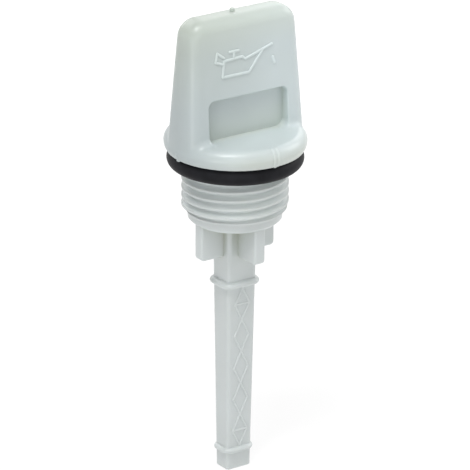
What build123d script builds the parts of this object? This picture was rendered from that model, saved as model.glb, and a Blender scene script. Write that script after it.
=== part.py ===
from build123d import *
import math
import os

# Engine oil dipstick: a screw-in plug with a flat grip above and a measuring stick below.
# Millimetres. Z is the thread's axis, up is the grip, and z = 0 is the flange's sealing face.
# X is the grip's width. The symbol and the level lattice are on the -Y side.

# Flange
flange_radius = 12.0
flange_base_radius = 11.5
flange_crest_height = 1.45
flange_round = 1.7
ledge_height = flange_crest_height + flange_round

# Grip
grip_inset = 0.05
grip_height = 23.9
grip_top_width = 21.2
grip_foot_thickness = 8.6
grip_top_thickness = 5.4
grip_corner_round = 3.2
grip_edge_round = 2.1
grip_foot_radius = flange_radius - grip_inset
grip_foot_level = flange_crest_height

# Finger pockets on both faces of the grip
pocket_width = 15.6
pocket_height = 7.1
pocket_depth = 1.9
pocket_corner_round = 1.1
pocket_edge_round = 0.3
pocket_draft = 4.0
foot_round = 1.4

# Gate stub on the grip's top
stub_radius = 0.42
stub_height = 0.65
stub_round = 0.2
stub_offset = -0.85
stub_root = 1.0

# Neck, thread and nose
neck_radius = 8.45
thread_radius = 9.0
thread_pitch = 1.5
thread_depth = 0.92
thread_crest_width = 0.34
thread_root_width = 0.2
thread_end_level = -11.05
relief_step = 0.1
relief_length = thread_pitch
thread_groove_level = -8.13
nose_radius = 7.95
nose_level = -12.6
nose_chamfer = 0.6

# Seal ring on the neck
seal_section = 3.0
seal_clearance = 0.05
seal_radius = neck_radius + seal_clearance + seal_section / 2

# Fins below the nose
fin_radius = 7.45
fin_thickness = 2.1
fin_length = 6.1
fin_corner_round = 0.75
fin_edge_round = 0.4
fin_plates = 2

# Stick
stick_level = -57.85
stick_top_width = 6.05
stick_top_depth = 5.15
stick_tip_width = 4.85
stick_tip_depth = 3.5
stick_top_corner_round = 0.75
stick_tip_corner_round = 0.5
stick_tip_chamfer = 0.2

# Guide ribs around the stick
rib_upper_level = -23.7
rib_upper_height = 0.88
rib_upper_width = 1.25
rib_lower_level = -54.25
rib_lower_height = 0.7
rib_lower_width = 1.1
rib_corner_round = 1.95
rib_sink = 0.1
rib_facets = 8

# Level lattice on the stick's front face
lattice_cells = 5
lattice_width = 2.9
lattice_line = 0.3
lattice_relief = 0.12
lattice_margin = 0.1
lattice_mark_cells = (0, 4)

# Oil-can symbol on the grip's front face
symbol_width = 11.7
symbol_height = 4.35
symbol_level = 16.2
symbol_offset = -0.45
symbol_line = 0.3
symbol_relief = 0.12

# Least half wall that a rounding leaves, and how far a root goes into what carries it
wall_beside_round = 0.3
root_depth = 0.4
overlap = 1.0
tolerance = 0.001


def grip_half_thickness(level):
    share = (level - grip_foot_level) / (grip_height - grip_foot_level)
    return (grip_foot_thickness + (grip_top_thickness - grip_foot_thickness) * share) / 2


def stick_share(level):
    return (nose_level - level) / (nose_level - stick_level)


def stick_width(level):
    return stick_top_width + (stick_tip_width - stick_top_width) * stick_share(level)


def stick_depth(level):
    return stick_top_depth + (stick_tip_depth - stick_top_depth) * stick_share(level)


def stick_corner_round(level):
    return stick_top_corner_round + (stick_tip_corner_round - stick_top_corner_round) * stick_share(level)


# Plane of the grip's leaning front face, seen from outside, with its origin at the symbol's middle
grip_lean = (grip_top_thickness - grip_foot_thickness) / 2 / (grip_height - grip_foot_level)
grip_face = Plane(
    origin=(symbol_offset, -grip_half_thickness(symbol_level), symbol_level),
    x_dir=(1, 0, 0),
    z_dir=(0, -1, -grip_lean),
)

# Distance from the middle to a pocket's back wall
pocket_floor = grip_half_thickness(ledge_height) - pocket_depth

# Plane of the stick's leaning front face, with its origin midway between the ribs
lattice_top = rib_upper_level - rib_upper_width / 2 - lattice_margin
lattice_bottom = rib_lower_level + rib_lower_width / 2 + lattice_margin
lattice_middle = (lattice_top + lattice_bottom) / 2
stick_lean = (stick_top_depth - stick_tip_depth) / 2 / (nose_level - stick_level)
stick_face = Plane(
    origin=(0, -stick_depth(lattice_middle) / 2, lattice_middle),
    x_dir=(1, 0, 0),
    z_dir=(0, -1, -stick_lean),
)

# Oil-can symbol as shares of its width and height, from its middle
symbol_strokes = (
    ((-0.36, 0.15), (-0.05, 0.19), (0.0, 0.08), (0.46, 0.44)),
    ((0.31, 0.32), (0.06, -0.47), (-0.39, -0.47), (-0.36, 0.15)),
    ((-0.37, 0.02), (-0.50, 0.16), (-0.47, 0.50), (-0.36, 0.27)),
    ((-0.19, 0.18), (-0.19, 0.46)),
    ((-0.26, 0.46), (-0.11, 0.46)),
    ((0.475, -0.08), (0.50, -0.31)),
)


def on_grip_face(edge):
    """Whether an edge lies on a leaning face of the grip and above its foot"""
    points = (edge @ 0, edge @ 0.5, edge @ 1)
    flush = all(abs(abs(point.Y) - grip_half_thickness(point.Z)) < tolerance for point in points)
    return flush and points[1].Z > grip_foot_level + tolerance


def on_pocket_foot(edge):
    """Whether an edge is one where a pocket's back wall meets the flange's top"""
    points = (edge @ 0, edge @ 0.5, edge @ 1)
    level = all(abs(point.Z - ledge_height) < tolerance for point in points)
    return level and all(abs(abs(point.Y) - pocket_floor) < tolerance for point in points)


def on_leg_foot(edge):
    """Whether an edge is one where a leg of the grip comes out of the flange's top or rounded rim"""
    points = (edge @ 0, edge @ 0.5, edge @ 1)
    low = all(grip_foot_level < point.Z < ledge_height + tolerance for point in points)
    rim = all(abs(math.hypot(point.X, point.Y) - flange_radius + flange_round) < tolerance for point in points)
    return low and not rim and not on_pocket_foot(edge)


def draw_line(points, line_width):
    """Add a line of rounded bars through the points to the sketch that is open"""
    for start, end in zip(points, points[1:]):
        run = Vector(*end) - Vector(*start)
        middle = (Vector(*start) + Vector(*end)) / 2
        with Locations(middle):
            SlotCenterToCenter(run.length, line_width, rotation=math.degrees(math.atan2(run.Y, run.X)))


# One plate makes a pair of opposite fins
with BuildPart() as fin_plate:
    fin_top = nose_level + nose_chamfer
    fin_bottom = nose_level - fin_length
    with BuildSketch(Plane.XZ) as fin_outline:
        with Locations((0, (fin_top + fin_bottom) / 2)):
            Rectangle(2 * fin_radius, fin_top - fin_bottom)
        fillet(fin_outline.vertices().group_by(Axis.Y)[0], radius=fin_corner_round)
    extrude(amount=fin_thickness / 2, both=True)
    fin_rim = ShapeList()
    for face in (fin_plate.faces().sort_by(Axis.Y)[0], fin_plate.faces().sort_by(Axis.Y)[-1]):
        fin_rim += face.edges().sort_by(Axis.Z)[:-1]
    fillet(fin_rim, radius=min(fin_edge_round, fin_thickness / 2 - wall_beside_round))


# Moulded body: grip first, then everything below it
with BuildPart() as dipstick_body:
    slab_width = 2 * max(flange_radius, grip_top_width / 2 + overlap)
    with BuildSketch(Plane.XY.offset(grip_foot_level)):
        Rectangle(slab_width, grip_foot_thickness)
    with BuildSketch(Plane.XY.offset(grip_height)):
        Rectangle(slab_width, grip_top_thickness)
    loft(ruled=True)
    # Its ends follow the flange's curve and lean in towards the top
    with BuildSketch(Plane.XZ):
        with BuildLine():
            Polyline(
                (0, grip_foot_level),
                (grip_foot_radius, grip_foot_level),
                (grip_top_width / 2, grip_height),
                (0, grip_height),
                close=True,
            )
        make_face()
    revolve(axis=Axis.Z, mode=Mode.INTERSECT)
    top_corners = dipstick_body.faces().sort_by(Axis.Z)[-1].edges().filter_by(GeomType.CIRCLE)
    fillet(top_corners, radius=grip_corner_round)
    grip_outline = ShapeList()
    for face in (dipstick_body.faces().sort_by(Axis.Y)[0], dipstick_body.faces().sort_by(Axis.Y)[-1]):
        grip_outline += face.edges().sort_by(Axis.Z)[1:]
    fillet(grip_outline, radius=min(grip_edge_round, grip_top_thickness / 2 - wall_beside_round))

    # Finger pockets, which reach down to the flange's top
    pocket_top = ledge_height + pocket_height
    pocket_drop = pocket_top - grip_foot_level + overlap
    for side in (-1, 1):
        pocket_plane = Plane(origin=(0, side * pocket_floor, 0), x_dir=(-side, 0, 0), z_dir=(0, side, 0))
        with BuildSketch(pocket_plane) as pocket_outline:
            with Locations((0, pocket_top - pocket_drop / 2)):
                Rectangle(pocket_width, pocket_drop)
            fillet(pocket_outline.vertices().group_by(Axis.Y)[-1], radius=pocket_corner_round)
        extrude(amount=pocket_depth + overlap, taper=-pocket_draft, mode=Mode.SUBTRACT)
        mouth_edges = dipstick_body.edges(Select.LAST).filter_by(on_grip_face)
        fillet(mouth_edges, radius=pocket_edge_round)

    # Flange, neck, thread blank and nose, with a relief behind the seal ring's lower half
    groove_root = thread_radius - thread_depth
    relief_radius = groove_root - relief_step
    seat_level = -seal_section - 2 * seal_clearance
    relief_level = seat_level + relief_length
    lead_out = thread_radius - nose_radius
    with BuildSketch(Plane.XZ):
        with BuildLine():
            rim_point = (flange_radius, flange_crest_height)
            rim_top = (flange_radius - flange_round, ledge_height)
            TangentArc(rim_point, (flange_base_radius, 0), tangent=(0, -1))
            TangentArc(rim_point, rim_top, tangent=(0, 1))
            Polyline(
                (flange_base_radius, 0),
                (neck_radius, 0),
                (neck_radius, relief_level),
                (relief_radius, relief_level),
                (relief_radius, seat_level),
                (thread_radius, seat_level),
                (thread_radius, thread_end_level + lead_out),
                (nose_radius, thread_end_level),
                (nose_radius, nose_level + nose_chamfer),
                (nose_radius - nose_chamfer, nose_level),
                (0, nose_level),
                (0, ledge_height),
                rim_top,
            )
        make_face()
    revolve(axis=Axis.Z)
    fillet(dipstick_body.edges(Select.LAST).filter_by(on_leg_foot), radius=foot_round)

    # Thread groove: a right-hand helix from the open below the thread to the relief above it
    groove_turns = math.ceil((thread_groove_level - thread_end_level) / thread_pitch) + 1
    groove_start = thread_groove_level - groove_turns * thread_pitch
    groove_end = seat_level + relief_length / 2
    with BuildLine() as groove_path:
        Helix(
            pitch=thread_pitch,
            height=groove_end - groove_start,
            radius=groove_root,
            center=(0, 0, groove_start),
        )
    root_half = thread_root_width / 2
    crest_half = (thread_pitch - thread_crest_width) / 2
    flank = (crest_half - root_half) / thread_depth
    mouth_half = crest_half + thread_crest_width / 4
    mouth_depth = (mouth_half - root_half) / flank
    groove_section = Plane(
        origin=groove_path.line @ 0, x_dir=(1, 0, 0), z_dir=groove_path.line % 0
    )
    with BuildSketch(groove_section):
        with BuildLine():
            Polyline(
                (0, -root_half),
                (mouth_depth, -mouth_half),
                (mouth_depth, mouth_half),
                (0, root_half),
                close=True,
            )
        make_face()
    sweep(path=groove_path.wires()[0], is_frenet=True, mode=Mode.SUBTRACT)

    # Fins
    with PolarLocations(0, fin_plates, angular_range=180, endpoint=False):
        add(fin_plate.part)

    # Stick
    stick_root = nose_level + overlap
    for level in (stick_root, stick_level):
        with BuildSketch(Plane.XY.offset(level)):
            RectangleRounded(stick_width(level), stick_depth(level), stick_corner_round(level))
    loft(ruled=True)
    chamfer(dipstick_body.faces().sort_by(Axis.Z)[0].edges(), length=stick_tip_chamfer)

    # Guide ribs: a round bead in narrow facets
    rib_angles = [math.pi * step / rib_facets for step in range(rib_facets + 1)]
    ribs = (
        (rib_upper_level, rib_upper_height, rib_upper_width),
        (rib_lower_level, rib_lower_height, rib_lower_width),
    )
    for level, rib_height, rib_width in ribs:
        for angle in rib_angles:
            growth = (rib_height + rib_sink) * math.sin(angle) - rib_sink
            with BuildSketch(Plane.XY.offset(level - rib_width / 2 * math.cos(angle))):
                RectangleRounded(
                    stick_width(level) + 2 * growth,
                    stick_depth(level) + 2 * growth,
                    rib_corner_round - rib_height + growth,
                )
        loft(ruled=True)

    # Level lattice: two zigzag lines that cross, with a level line across two of its cells
    half_cell = (lattice_top - lattice_bottom) / lattice_cells / 2
    lattice_rise = (lattice_top - lattice_bottom) / 2
    with BuildSketch(stick_face.offset(-root_depth)):
        for side in (-1, 1):
            draw_line(
                [
                    (side * (step % 2) * lattice_width / 2, lattice_rise - step * half_cell)
                    for step in range(2 * lattice_cells + 1)
                ],
                lattice_line,
            )
        for cell in lattice_mark_cells:
            mark_rise = lattice_rise - (2 * cell + 1) * half_cell
            draw_line([(-lattice_width / 2, mark_rise), (lattice_width / 2, mark_rise)], lattice_line)
    extrude(amount=root_depth + lattice_relief)

    # Oil-can symbol
    with BuildSketch(grip_face.offset(-root_depth)):
        for stroke in symbol_strokes:
            draw_line([(x * symbol_width, y * symbol_height) for x, y in stroke], symbol_line)
    extrude(amount=root_depth + symbol_relief)

    # Gate stub
    with BuildSketch(Plane.XZ) as stub_profile:
        with Locations((stub_offset + stub_radius / 2, grip_height + (stub_height - stub_root) / 2)):
            Rectangle(stub_radius, stub_root + stub_height)
        fillet(stub_profile.vertices().group_by(Axis.Y)[-1].sort_by(Axis.X)[-1], radius=stub_round)
    revolve(axis=Axis((stub_offset, 0, 0), (0, 0, 1)))

# Rubber seal ring
with BuildPart() as seal_ring:
    with BuildSketch(Plane.XZ):
        with Locations((seal_radius, -seal_clearance - seal_section / 2)):
            Circle(seal_section / 2)
    revolve(axis=Axis.Z)

os.makedirs("parts", exist_ok=True)
dipstick_body.part.label = "dipstick_body"
seal_ring.part.label = "seal_ring"
export_step(dipstick_body.part, "parts/dipstick_body.step")
export_step(seal_ring.part, "parts/seal_ring.step")
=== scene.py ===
import math
from collections import namedtuple

import bpy
from mathutils import Matrix, Vector


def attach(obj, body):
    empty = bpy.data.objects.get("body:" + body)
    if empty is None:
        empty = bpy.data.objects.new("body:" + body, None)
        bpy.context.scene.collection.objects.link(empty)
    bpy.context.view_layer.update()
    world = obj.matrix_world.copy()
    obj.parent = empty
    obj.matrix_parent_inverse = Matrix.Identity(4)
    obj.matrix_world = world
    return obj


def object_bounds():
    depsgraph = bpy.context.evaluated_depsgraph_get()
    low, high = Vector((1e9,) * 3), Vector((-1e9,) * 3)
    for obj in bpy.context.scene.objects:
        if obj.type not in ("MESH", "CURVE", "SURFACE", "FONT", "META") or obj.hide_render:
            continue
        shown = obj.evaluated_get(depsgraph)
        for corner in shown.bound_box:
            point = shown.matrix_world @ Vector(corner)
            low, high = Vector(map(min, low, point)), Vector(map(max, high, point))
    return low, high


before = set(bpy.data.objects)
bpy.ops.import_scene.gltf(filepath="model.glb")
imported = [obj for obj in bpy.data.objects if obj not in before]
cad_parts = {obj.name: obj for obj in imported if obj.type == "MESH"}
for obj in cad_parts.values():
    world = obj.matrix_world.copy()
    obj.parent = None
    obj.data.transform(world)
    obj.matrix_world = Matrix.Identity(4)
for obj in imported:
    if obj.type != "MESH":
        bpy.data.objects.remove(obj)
cad_box = [list(corner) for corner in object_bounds()]

# Sizes are in millimetres unless a line says otherwise; Blender's own values are in metres
MM = 0.001
UP = Vector((0.0, 0.0, 1.0))
WHITE = (1.0, 1.0, 1.0, 1.0)

# Camera at the photograph's viewing angle: degrees, millimetres and pixels of the 470-pixel frame
VIEW_AZIMUTH = -35.0
VIEW_ELEVATION = 21.439
VIEW_ROLL = 0.415
VIEW_DISTANCE = 700.0
VIEW_TARGET = Vector((0.032, -0.023, -15.715))
VIEW_FOCUS = 4174.9
IMAGE_SIDE = 470
SENSOR_WIDTH = 36.0
CLIP_START = 10.0
CLIP_END = 20000.0

# Tip and flange from the frame, the other sizes as in the part's source
TIP_LEVEL = cad_box[0][2] / MM
FLANGE_RADIUS = cad_box[1][0] / MM
FLANGE_BASE_RADIUS = 11.5
FLANGE_CREST_LEVEL = 1.45
FLANGE_ROUND = 1.7

# Leaning front faces, each as its upper and its lower level with the whole thickness there
GRIP_FRONT = ((23.9, 5.4), (FLANGE_CREST_LEVEL, 8.6))
STICK_FRONT = ((-12.6, 5.15), (TIP_LEVEL, 3.5))

# Oil-can symbol: its middle, its size and its lines as shares of that size
SYMBOL_LEVEL = 16.2
SYMBOL_OFFSET = -0.45
SYMBOL_WIDTH = 11.7
SYMBOL_HEIGHT = 4.35
SYMBOL_STROKES = (
    ((-0.36, 0.15), (-0.05, 0.19), (0.0, 0.08), (0.46, 0.44)),
    ((0.31, 0.32), (0.06, -0.47), (-0.39, -0.47), (-0.36, 0.15)),
    ((-0.37, 0.02), (-0.50, 0.16), (-0.47, 0.50), (-0.36, 0.27)),
    ((-0.19, 0.18), (-0.19, 0.46)),
    ((-0.26, 0.46), (-0.11, 0.46)),
    ((0.475, -0.08), (0.50, -0.31)),
)

# Level lattice between the stick's two guide ribs
RIB_UPPER_LEVEL = -23.7
RIB_UPPER_WIDTH = 1.25
RIB_LOWER_LEVEL = -54.25
RIB_LOWER_WIDTH = 1.1
LATTICE_MARGIN = 0.1
LATTICE_TOP = RIB_UPPER_LEVEL - RIB_UPPER_WIDTH / 2 - LATTICE_MARGIN
LATTICE_BOTTOM = RIB_LOWER_LEVEL + RIB_LOWER_WIDTH / 2 + LATTICE_MARGIN
LATTICE_CELLS = 5
LATTICE_WIDTH = 2.9
LATTICE_MARK_CELLS = (0, 4)

# Rounded lines that cap the symbol and the lattice: half width and height, and the dome's steps in degrees
SYMBOL_BEAD = (0.25, 0.19)
LATTICE_BEAD = (0.21, 0.155)
BEAD_SINK = 0.05
BEAD_RISES = (0.0, 18.0, 36.0, 54.0, 72.0, 86.0)
BEAD_CAP_STEPS = 8

# Arcs of the flange's rim, as a radius and two angles; they meet upright at the crest
RIM_INSET = FLANGE_RADIUS - FLANGE_BASE_RADIUS
RIM_LOWER_ROUND = (RIM_INSET**2 + FLANGE_CREST_LEVEL**2) / (2 * RIM_INSET)
RIM_LOWER_ARC = (RIM_LOWER_ROUND, -38.0, 0.0)
RIM_UPPER_ARC = (FLANGE_ROUND, 0.0, 80.0)
RIM_STEPS = 8

# Mould seams on the rim: half width and height of a line, and the offset of each line of a pair
SEAM_SECTION = (0.26, 0.028)
SEAM_SINK = 0.03
SEAM_ARCH_STEPS = 6
SEAM_PAIR = 0.42
SEAM_PAIR_SIDES = (0.0, 180.0)
SEAM_SINGLE_SIDES = (-90.0, 90.0)

# Flash at the seams' feet: half sizes along the rim, outwards and upwards, and each side's share of them
FLASH_RADIUS = 11.42
FLASH_LEVEL = 0.05
FLASH_SIZE = (0.45, 0.3, 0.3)
FLASH_SHARES = {-90.0: 1.0, 90.0: 1.0, 0.0: 0.7, 180.0: 0.7}
FLASH_AROUND = 12
FLASH_LEVELS = 7

# Plastic: its clouds' colours, each at a share of their noise, and the noises' scales for each millimetre
CLOUD_STOPS = ((0.3, (0.572, 0.640, 0.645, 1.0)), (0.7, (0.597, 0.668, 0.678, 1.0)))
CLOUD_SCALE = 0.09
GRAIN_SCALE = 0.9
PLASTIC_ROUGHNESS = (0.28, 0.34)
PLASTIC_BUMP = 0.04

# Rubber: the same for its dust, and the depth of the fine bumps of both materials
DUST_STOPS = ((0.35, (0.007, 0.0072, 0.0088, 1.0)), (0.75, (0.014, 0.0145, 0.0175, 1.0)))
DUST_SCALE = 0.4
RUBBER_ROUGHNESS = (0.45, 0.62)
RUBBER_BUMP = 0.12
BUMP_DEPTH = 0.2

# Painted shade on the grip's left end and back: where the grip starts, how the painted shade runs out
# across it, and its share near the top
GRIP_START = (-4.0, 1.0)
LEFT_SHADE_COURSE = (1.0, -2.0, 0.0)
LEFT_SHADE_REACH = (-12.0, 12.0)
LEFT_SHADE_MOST = 0.26
LEFT_SHADE_FADE = (18.5, 21.5)
LEFT_SHADE_AT_TOP = 0.75

# Zones of the other tones, by level or across: the run where a tone sets in, and a second where it ends
YELLOW_LEVELS = (8.0, 18.0)
TOP_LEVELS = (18.0, 22.5)
RIM_LEVELS = (GRIP_START, (1.2, 3.4))
RIM_ACROSS = (-11.5, -4.5)
# Painted light on the thread's middle turns, and its share elsewhere across
LIT_THREAD_LEVELS = ((-10.8, -10.0), (-6.0, -4.0))
LIT_THREAD_ACROSS = ((-7.5, -3.0), (0.0, 4.5))
LIT_THREAD_ELSEWHERE = 0.3
# Painted shade between the fins and in the pockets, and painted light at the pockets' feet
FIN_LEVELS = ((-23.0, -20.5), (-11.4, -10.8))
POCKET_LEVELS = ((1.5, 6.5), (10.5, 12.0))
POCKET_FOOT_LEVELS = ((0.5, 2.5), (4.5, 9.0))

# Pockets' painted light and shade: the runs across and outwards from the grip's middle where they end, and
# their share inside
POCKET_SIDES = (7.2, 8.2)
POCKET_DEPTHS = (2.6, 4.2)
POCKET_SHARE = 0.65

# How near other surfaces have to be to darken a corner with painted shade
CORNER_SHADE_REACH = 5.0

# Tones that multiply the plastic's colour in their zones
YELLOW_TONE = (1.0, 0.98, 0.68, 1.0)
LOWER_TONE = (1.05, 1.0, 0.985, 1.0)
# Painted light on the thread
LIT_THREAD_TONE = (1.18, 1.18, 1.17, 1.0)
TOP_TONE = (1.01, 1.0, 0.94, 1.0)
RIM_TONE = (1.035, 1.0, 0.93, 1.0)
# Painted light at the pockets' feet, and painted shade in the corners
POCKET_FOOT_LIGHT_TONE = (1.17, 1.14, 1.08, 1.0)
CORNER_SHADE_TONE = (0.38, 0.37, 0.15, 1.0)

# Edges that only the shading rounds: their radius, and a larger one on the thread
SOFT_EDGE = 0.16
SOFT_THREAD_EDGE = 0.8
THREAD_LEVELS = ((-12.5, -11.5), (-4.0, -3.0))

# Soft lamps: azimuth, elevation, distance from the part, watts and size, in degrees and metres
LAMPS = {
    "front high": (-35.0, 50.0, 0.5, 0.15, 0.3),
    "front gloss": (-28.0, 12.0, 0.5, 0.24, 0.15),
    "front right": (35.0, 15.0, 0.5, 0.06, 0.3),
    "left": (-85.0, 20.0, 0.5, 0.03, 0.3),
    "left low": (-62.0, -4.0, 0.3, 0.075, 0.05),
    "left high": (-60.0, 65.0, 0.5, 0.86, 0.15),
    "top": (-20.0, 75.0, 0.5, 0.48, 0.3),
    "right": (80.0, 30.0, 0.5, 0.70, 0.3),
    "back right": (130.0, 30.0, 0.5, 0.27, 0.3),
    "back": (180.0, 30.0, 0.5, 0.42, 0.3),
}
LAMP_TARGET = Vector((0.0, 0.0, -10.0))
WORLD_LIGHT = 0.3

# Floor: its glow on the part, the colour that takes the shadow, and how it whitens away from the part
FLOOR_SIDE = 4000.0
FLOOR_GLOW = 0.95
FLOOR_COLOUR = (0.3, 0.3, 0.3, 1.0)
FLOOR_FADE = (100.0, 300.0)
FLOOR_WHITE = (0.75, 1.0)

# A shaded point's place, whole and along each axis
Place = namedtuple("Place", "point x y z")


class Shading:
    """Node tree of a material or of the world, with short ways to add and link its nodes"""

    def __init__(self, owner):
        owner.use_nodes = True
        self.nodes = owner.node_tree.nodes
        self.links = owner.node_tree.links
        self.nodes.clear()

    def feed(self, node, inputs):
        """Give sockets what they take: a link from another node's output, or a fixed number or colour"""
        for socket, value in inputs.items():
            if isinstance(value, bpy.types.NodeSocket):
                self.links.new(value, node.inputs[socket])
            else:
                node.inputs[socket].default_value = value
        return node

    def add(self, kind, inputs):
        return self.feed(self.nodes.new("ShaderNode" + kind), inputs)

    def combine(self, operation, *terms):
        """Result of one operation on one or two values"""
        node = self.nodes.new("ShaderNodeMath")
        node.operation = operation
        return self.feed(node, dict(enumerate(terms))).outputs["Value"]

    def times(self, *factors):
        product = factors[0]
        for factor in factors[1:]:
            product = self.combine("MULTIPLY", product, factor)
        return product

    def combine_vectors(self, operation, inputs):
        """Outputs of one operation on vectors"""
        node = self.nodes.new("ShaderNodeVectorMath")
        node.operation = operation
        return self.feed(node, inputs).outputs

    def span(self, source, low, high, at_low=0.0, at_high=1.0):
        """A value that runs from one number to another while the source goes from low to high"""
        limits = {"From Min": low, "From Max": high, "To Min": at_low, "To Max": at_high}
        return self.add("MapRange", {"Value": source} | limits).outputs["Result"]

    def band(self, source, limits, outside=0.0):
        """1 in a zone of the source, with a run at either end to the value outside it"""
        start, end = limits
        rise = self.span(source, *start, outside, 1.0)
        fall = self.span(source, *end, 1.0, outside)
        return self.combine("MINIMUM", rise, fall)

    def tone(self, colour, factor, tone):
        """A colour, multiplied by a tone as far as the factor says"""
        node = self.nodes.new("ShaderNodeMix")
        node.data_type = "RGBA"
        node.blend_type = "MULTIPLY"
        return self.feed(node, {"Factor": factor, "A": colour, "B": tone}).outputs["Result"]

    def ramp(self, factor, stops):
        """A colour that runs from one stop to the other"""
        node = self.add("ValToRGB", {"Fac": factor})
        for element, (position, colour) in zip(node.color_ramp.elements, stops):
            element.position = position
            element.color = colour
        return node.outputs["Color"]

    def noise(self, point, scale, detail):
        return self.add("TexNoise", {"Vector": point, "Scale": scale, "Detail": detail}).outputs["Fac"]

    def point(self):
        """The shaded point in the object's own frame, in millimetres"""
        metres = self.add("TexCoord", {}).outputs["Object"]
        return self.combine_vectors("SCALE", {0: metres, "Scale": 1 / MM})["Vector"]

    def place(self):
        """The same point with its numbers along each axis"""
        point = self.point()
        axes = self.add("SeparateXYZ", {"Vector": point}).outputs
        return Place(point, axes["X"], axes["Y"], axes["Z"])

    def backdrop(self, lighting, seen):
        """One shader lights the part, and one is seen: straight, in gloss or through clear pieces"""
        path = self.add("LightPath", {}).outputs
        direct = self.combine("MAXIMUM", path["Is Camera Ray"], path["Is Glossy Ray"])
        every = self.combine("MAXIMUM", direct, path["Is Transmission Ray"])
        shaders = {1: lighting.outputs[0], 2: seen.outputs[0]}
        return self.add("MixShader", {"Fac": every} | shaders).outputs[0]


def direction(azimuth, elevation):
    """Unit vector from the part towards a viewer or lamp; azimuth 0 is the front and grows to the right"""
    a, e = math.radians(azimuth), math.radians(elevation)
    return Vector((math.sin(a) * math.cos(e), -math.cos(a) * math.cos(e), math.sin(e)))


def side_axes(azimuth):
    """Level unit vectors out of one side of the part, and along that side to the right"""
    out = direction(azimuth, 0.0)
    return out, UP.cross(out)


def make_camera():
    """Camera in the photograph's place"""
    camera = bpy.data.objects.new("camera", bpy.data.cameras.new("camera"))
    bpy.context.scene.collection.objects.link(camera)
    camera.data.sensor_width = SENSOR_WIDTH
    camera.data.lens = VIEW_FOCUS / IMAGE_SIDE * SENSOR_WIDTH
    camera.data.clip_start = CLIP_START * MM
    camera.data.clip_end = CLIP_END * MM
    back = direction(VIEW_AZIMUTH, VIEW_ELEVATION)
    level = UP.cross(back).normalized()
    upward = back.cross(level)
    roll = math.radians(VIEW_ROLL)
    right = math.cos(roll) * level + math.sin(roll) * upward
    up = math.cos(roll) * upward - math.sin(roll) * level
    turn = Matrix((right, up, back)).transposed().to_4x4()
    camera.matrix_world = Matrix.Translation((VIEW_TARGET + VIEW_DISTANCE * back) * MM) @ turn
    bpy.context.scene.camera = camera


def make_lamps():
    """Round soft lamps that face the part"""
    for name, (azimuth, elevation, distance, watts, size) in LAMPS.items():
        lamp = bpy.data.lights.new(name, "AREA")
        lamp.shape = "DISK"
        lamp.size = size
        lamp.energy = watts
        holder = bpy.data.objects.new(name, lamp)
        bpy.context.scene.collection.objects.link(holder)
        aim = direction(azimuth, elevation)
        holder.location = LAMP_TARGET * MM + distance * aim
        holder.rotation_euler = aim.to_track_quat("Z", "Y").to_euler()


def make_world():
    """Even weak light from all around, seen as white"""
    world = bpy.data.worlds.new("studio")
    bpy.context.scene.world = world
    world.cycles.sampling_method = "NONE"
    shading = Shading(world)
    lighting = shading.add("Background", {"Color": WHITE, "Strength": WORLD_LIGHT})
    seen = shading.add("Background", {"Color": WHITE, "Strength": 1.0})
    shading.add("OutputWorld", {"Surface": shading.backdrop(lighting, seen)})


def make_floor():
    """Plain floor under the tip, which takes the part's shadow and whitens away from it"""
    bpy.ops.mesh.primitive_plane_add(size=FLOOR_SIDE * MM, location=TIP_LEVEL * MM * UP)
    floor = bpy.context.object
    floor.name = "floor"
    material = bpy.data.materials.new("floor")
    material.cycles.emission_sampling = "NONE"
    shading = Shading(material)
    lighting = shading.add("Emission", {"Strength": FLOOR_GLOW})
    shaded = shading.add("BsdfDiffuse", {"Color": FLOOR_COLOUR})
    reach = shading.combine_vectors("LENGTH", {0: shading.point()})["Value"]
    white = shading.add("Emission", {"Strength": shading.span(reach, *FLOOR_FADE, *FLOOR_WHITE)})
    seen = shading.add("AddShader", {0: shaded.outputs[0], 1: white.outputs[0]})
    shading.add("OutputMaterial", {"Surface": shading.backdrop(lighting, seen)})
    floor.data.materials.append(material)


def painted_grip_shade_and_tones(shading, place, colour, highlight_lift):
    """Painted shade, darker towards the grip's left end and back, yellower there higher up, and greyer
    below the flange
    """
    course = shading.combine_vectors("DOT_PRODUCT", {0: place.point, 1: LEFT_SHADE_COURSE})["Value"]
    left_shade = shading.span(course, *LEFT_SHADE_REACH, LEFT_SHADE_MOST, 0.0)
    fade = shading.span(place.z, *LEFT_SHADE_FADE, 1.0, LEFT_SHADE_AT_TOP)
    shade_loss = shading.times(left_shade, fade, shading.span(place.z, *GRIP_START))
    kept = shading.combine("SUBTRACT", highlight_lift, shade_loss)
    colour = shading.combine_vectors("SCALE", {0: colour, "Scale": kept})["Vector"]
    yellowed = shading.times(shade_loss, shading.span(place.z, *YELLOW_LEVELS))
    colour = shading.tone(colour, yellowed, YELLOW_TONE)
    return shading.tone(colour, shading.span(place.z, *GRIP_START, 1.0, 0.0), LOWER_TONE)


def painted_thread_light(shading, place, colour):
    """Painted light on the thread: its middle turns paler, most of all near the middle of its width"""
    turns = shading.band(place.z, LIT_THREAD_LEVELS)
    across_share = shading.band(place.x, LIT_THREAD_ACROSS, LIT_THREAD_ELSEWHERE)
    return shading.tone(colour, shading.times(turns, across_share), LIT_THREAD_TONE)


def warmer_top_and_rim(shading, place, colour):
    """Warmer towards the grip's top, and on the flange's rim apart from its left end"""
    colour = shading.tone(colour, shading.span(place.z, *TOP_LEVELS), TOP_TONE)
    rim = shading.times(shading.band(place.z, RIM_LEVELS), shading.span(place.x, *RIM_ACROSS))
    return shading.tone(colour, rim, RIM_TONE)


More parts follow.
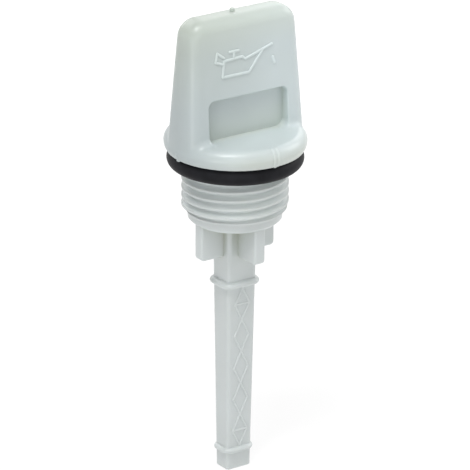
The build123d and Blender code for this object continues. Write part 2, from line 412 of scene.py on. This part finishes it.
def painted_pocket_light_and_corner_shade(shading, place, colour):
    """Paler foot of the pockets' walls as painted light, and darker, yellower corners in the pockets and
    between the fins as painted shade
    """
    deep = shading.span(shading.combine("ABSOLUTE", place.y), *POCKET_DEPTHS, POCKET_SHARE, 0.0)
    inside = shading.span(shading.combine("ABSOLUTE", place.x), *POCKET_SIDES, 1.0, 0.0)
    foot = shading.times(shading.band(place.z, POCKET_FOOT_LEVELS), deep, inside)
    colour = shading.tone(colour, foot, POCKET_FOOT_LIGHT_TONE)
    open_sky = shading.add("AmbientOcclusion", {"Distance": CORNER_SHADE_REACH * MM})
    open_sky.samples = 6
    open_sky.only_local = True
    covered = shading.combine("SUBTRACT", 1.0, open_sky.outputs["AO"])
    pockets = shading.times(shading.band(place.z, POCKET_LEVELS), deep)
    zone = shading.combine("MAXIMUM", shading.band(place.z, FIN_LEVELS), pockets)
    return shading.tone(colour, shading.times(covered, covered, zone), CORNER_SHADE_TONE)


def rounded_edges(shading, place):
    """Normal that rounds the edges a little, and those of the thread more"""
    on_thread = shading.band(place.z, THREAD_LEVELS)
    radius = shading.span(on_thread, 0.0, 1.0, SOFT_EDGE * MM, SOFT_THREAD_EDGE * MM)
    edges = shading.add("Bevel", {"Radius": radius})
    edges.samples = 8
    return edges.outputs["Normal"]


def skin(shading, colour, relief, roughness, strength):
    """A surface whose roughness and fine bumps follow one noise; gives its shader and its bump"""
    bump = shading.add("Bump", {"Height": relief, "Strength": strength, "Distance": BUMP_DEPTH * MM})
    gloss = shading.span(relief, 0.0, 1.0, *roughness)
    shader = shading.add("BsdfPrincipled", {"Base Color": colour, "Roughness": gloss})
    shading.feed(shader, {"Normal": bump.outputs["Normal"]})
    shading.add("OutputMaterial", {"Surface": shader.outputs[0]})
    return shader, bump


def plastic(name, highlight_lift=1.0, depth=0.0, soften=False):
    """Pale grey satin moulding: a factor that brightens its colour, above 1 for the copies that paint
    highlight on raised lines, a share of light under its skin, and soft edges
    """
    material = bpy.data.materials.new(name)
    shading = Shading(material)
    place = shading.place()
    colour = shading.ramp(shading.noise(place.point, CLOUD_SCALE, detail=3.0), CLOUD_STOPS)
    colour = painted_grip_shade_and_tones(shading, place, colour, highlight_lift)
    colour = painted_thread_light(shading, place, colour)
    colour = warmer_top_and_rim(shading, place, colour)
    colour = painted_pocket_light_and_corner_shade(shading, place, colour)
    grain = shading.noise(place.point, GRAIN_SCALE, detail=2.0)
    shader, bump = skin(shading, colour, grain, PLASTIC_ROUGHNESS, PLASTIC_BUMP)
    shader.inputs["Specular IOR Level"].default_value = 0.5
    shader.inputs["Subsurface Weight"].default_value = depth
    shader.inputs["Subsurface Radius"].default_value = (1.0, 1.0, 0.9)
    shader.inputs["Subsurface Scale"].default_value = 0.8 * MM
    if soften:
        shading.feed(bump, {"Normal": rounded_edges(shading, place)})
    return material


def rubber():
    """Black moulded rubber with a dusty, slightly uneven skin"""
    material = bpy.data.materials.new("seal_rubber")
    shading = Shading(material)
    dust = shading.noise(shading.point(), DUST_SCALE, detail=6.0)
    colour = shading.ramp(dust, DUST_STOPS)
    shader = skin(shading, colour, dust, RUBBER_ROUGHNESS, RUBBER_BUMP)[0]
    shader.inputs["Specular IOR Level"].default_value = 0.12
    return material


def leaning_face(front, across, level):
    """Place of a leaning front face: x to the right, y up along it and z out of it, from a point on it"""
    (high, high_thickness), (low, low_thickness) = front
    lean = (high_thickness - low_thickness) / 2 / (high - low)
    out = Vector((0.0, -1.0, -lean)).normalized()
    right = Vector((1.0, 0.0, 0.0))
    turn = Matrix((right, out.cross(right), out)).transposed().to_4x4()
    depth = low_thickness / 2 + lean * (level - low)
    return Matrix.Translation(Vector((across, -depth, level))) @ turn


def add_piece(name, lumps, material):
    """A smooth mesh fixed to the part, from closed lumps that are each a stack of rings in millimetres"""
    vertices, faces = [], []
    for rings in lumps:
        first, count = len(vertices), len(rings[0])
        vertices += [point * MM for ring in rings for point in ring]
        last = len(vertices) - count
        for low in range(first, last, count):
            for step in range(count):
                following = (step + 1) % count
                faces.append((low + step, low + following, low + count + following, low + count + step))
        faces.append([first + step for step in reversed(range(count))])
        faces.append([last + step for step in range(count)])
    mesh = bpy.data.meshes.new(name)
    mesh.from_pydata(vertices, [], faces)
    mesh.polygons.foreach_set("use_smooth", [True] * len(mesh.polygons))
    mesh.materials.append(material)
    piece = bpy.data.objects.new(name, mesh)
    bpy.context.scene.collection.objects.link(piece)
    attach(piece, "root")


def bead(start, end, section, place):
    """One straight run of a rounded line on a face, as rings: a long low dome with a sunk foot"""
    half_width, height = section
    heading = math.atan2(end.y - start.y, end.x - start.x)
    outline = []
    for tip, turn in ((end, -90.0), (start, 90.0)):
        for step in range(BEAD_CAP_STEPS + 1):
            angle = heading + math.radians(turn + 180.0 * step / BEAD_CAP_STEPS)
            outline.append((tip, Vector((math.cos(angle), math.sin(angle)))))
    profile = [(half_width, -BEAD_SINK)]
    for rise in map(math.radians, BEAD_RISES):
        profile.append((half_width * math.cos(rise), height * math.sin(rise)))
    rings = []
    for reach, level in profile:
        spots = [tip + reach * aim for tip, aim in outline]
        rings.append([place @ Vector((spot.x, spot.y, level)) for spot in spots])
    return rings


def beads(lines, section, place):
    """The straight runs of several lines"""
    runs = [run for line in lines for run in zip(line, line[1:])]
    return [bead(Vector(start), Vector(end), section, place) for start, end in runs]


def arch(foot, along, normal):
    """Ring across a seam: a low arch with sunk ends"""
    half_width, height = SEAM_SECTION
    ring = []
    for step in range(SEAM_ARCH_STEPS + 1):
        angle = math.pi * step / SEAM_ARCH_STEPS
        sink = SEAM_SINK if step in (0, SEAM_ARCH_STEPS) else 0.0
        rise = height * math.sin(angle) - sink
        ring.append(foot + rise * normal - half_width * math.cos(angle) * along)
    return ring


def seam(azimuth, offset, arcs):
    """Thin raised line up arcs of the flange's rim at one azimuth, as rings"""
    out, along = side_axes(azimuth)
    rings = []
    for radius, first, last in arcs:
        middle = (FLANGE_RADIUS - radius) * out + FLANGE_CREST_LEVEL * UP + offset * along
        # A second arc starts at the ring that the first one ends with
        for step in range(1 if rings else 0, RIM_STEPS + 1):
            angle = math.radians(first + (last - first) * step / RIM_STEPS)
            normal = math.cos(angle) * out + math.sin(angle) * UP
            rings.append(arch(middle + radius * normal, along, normal))
    return rings


def flash(azimuth, share):
    """Small lump of flash where a seam meets the flange's lower edge, as rings from its top down"""
    out, along = side_axes(azimuth)
    middle = FLASH_RADIUS * out + FLASH_LEVEL * UP
    wide, deep, high = (share * size for size in FLASH_SIZE)
    rings = []
    for level in range(1, FLASH_LEVELS):
        polar = math.pi * level / FLASH_LEVELS
        ring = []
        for step in range(FLASH_AROUND):
            turn = 2 * math.pi * step / FLASH_AROUND
            spread = wide * math.cos(turn) * along + deep * math.sin(turn) * out
            ring.append(middle + math.sin(polar) * spread + high * math.cos(polar) * UP)
        rings.append(ring)
    return rings


def make_seams(material):
    """Mould seams at the flange's four sides; at the grip's ends only the rim's lower arc is free"""
    lumps = [flash(azimuth, share) for azimuth, share in FLASH_SHARES.items()]
    for azimuth in SEAM_PAIR_SIDES:
        for offset in (-SEAM_PAIR, SEAM_PAIR):
            lumps.append(seam(azimuth, offset, (RIM_LOWER_ARC, RIM_UPPER_ARC)))
    for azimuth in SEAM_SINGLE_SIDES:
        lumps.append(seam(azimuth, 0.0, (RIM_LOWER_ARC,)))
    add_piece("mould_seams", lumps, material)


def make_symbol(material):
    place = leaning_face(GRIP_FRONT, SYMBOL_OFFSET, SYMBOL_LEVEL)
    lines = [[(x * SYMBOL_WIDTH, y * SYMBOL_HEIGHT) for x, y in stroke] for stroke in SYMBOL_STROKES]
    add_piece("symbol_lines", beads(lines, SYMBOL_BEAD, place), material)


def make_lattice(material):
    """Two zigzags that meet between the cells, and a bar across each marked cell"""
    place = leaning_face(STICK_FRONT, 0.0, (LATTICE_TOP + LATTICE_BOTTOM) / 2)
    rise = (LATTICE_TOP - LATTICE_BOTTOM) / 2
    half_cell = rise / LATTICE_CELLS
    half_width = LATTICE_WIDTH / 2
    steps = range(2 * LATTICE_CELLS + 1)
    lines = []
    for reach in (-half_width, half_width):
        lines.append([((step % 2) * reach, rise - step * half_cell) for step in steps])
    for cell in LATTICE_MARK_CELLS:
        level = rise - (2 * cell + 1) * half_cell
        lines.append([(-half_width, level), (half_width, level)])
    add_piece("lattice_lines", beads(lines, LATTICE_BEAD, place), material)


def dress(node, material):
    """Give a CAD node its material"""
    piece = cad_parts[node]
    piece.data.materials.clear()
    piece.data.materials.append(material)


body_plastic = plastic("body_plastic", depth=0.28, soften=True)
# Lighter copies of the same plastic: painted highlight on the symbol's lines, the lattice and the seams
line_plastic = plastic("line_plastic", highlight_lift=1.14)
mark_plastic = plastic("mark_plastic", highlight_lift=1.06)
seam_plastic = plastic("seam_plastic", highlight_lift=1.06)
dress("dipstick_body", body_plastic)
make_seams(seam_plastic)
make_symbol(line_plastic)
make_lattice(mark_plastic)
dress("seal_ring", rubber())
make_floor()
make_world()
make_lamps()
make_camera()
bpy.context.scene.view_settings.view_transform = "Standard"
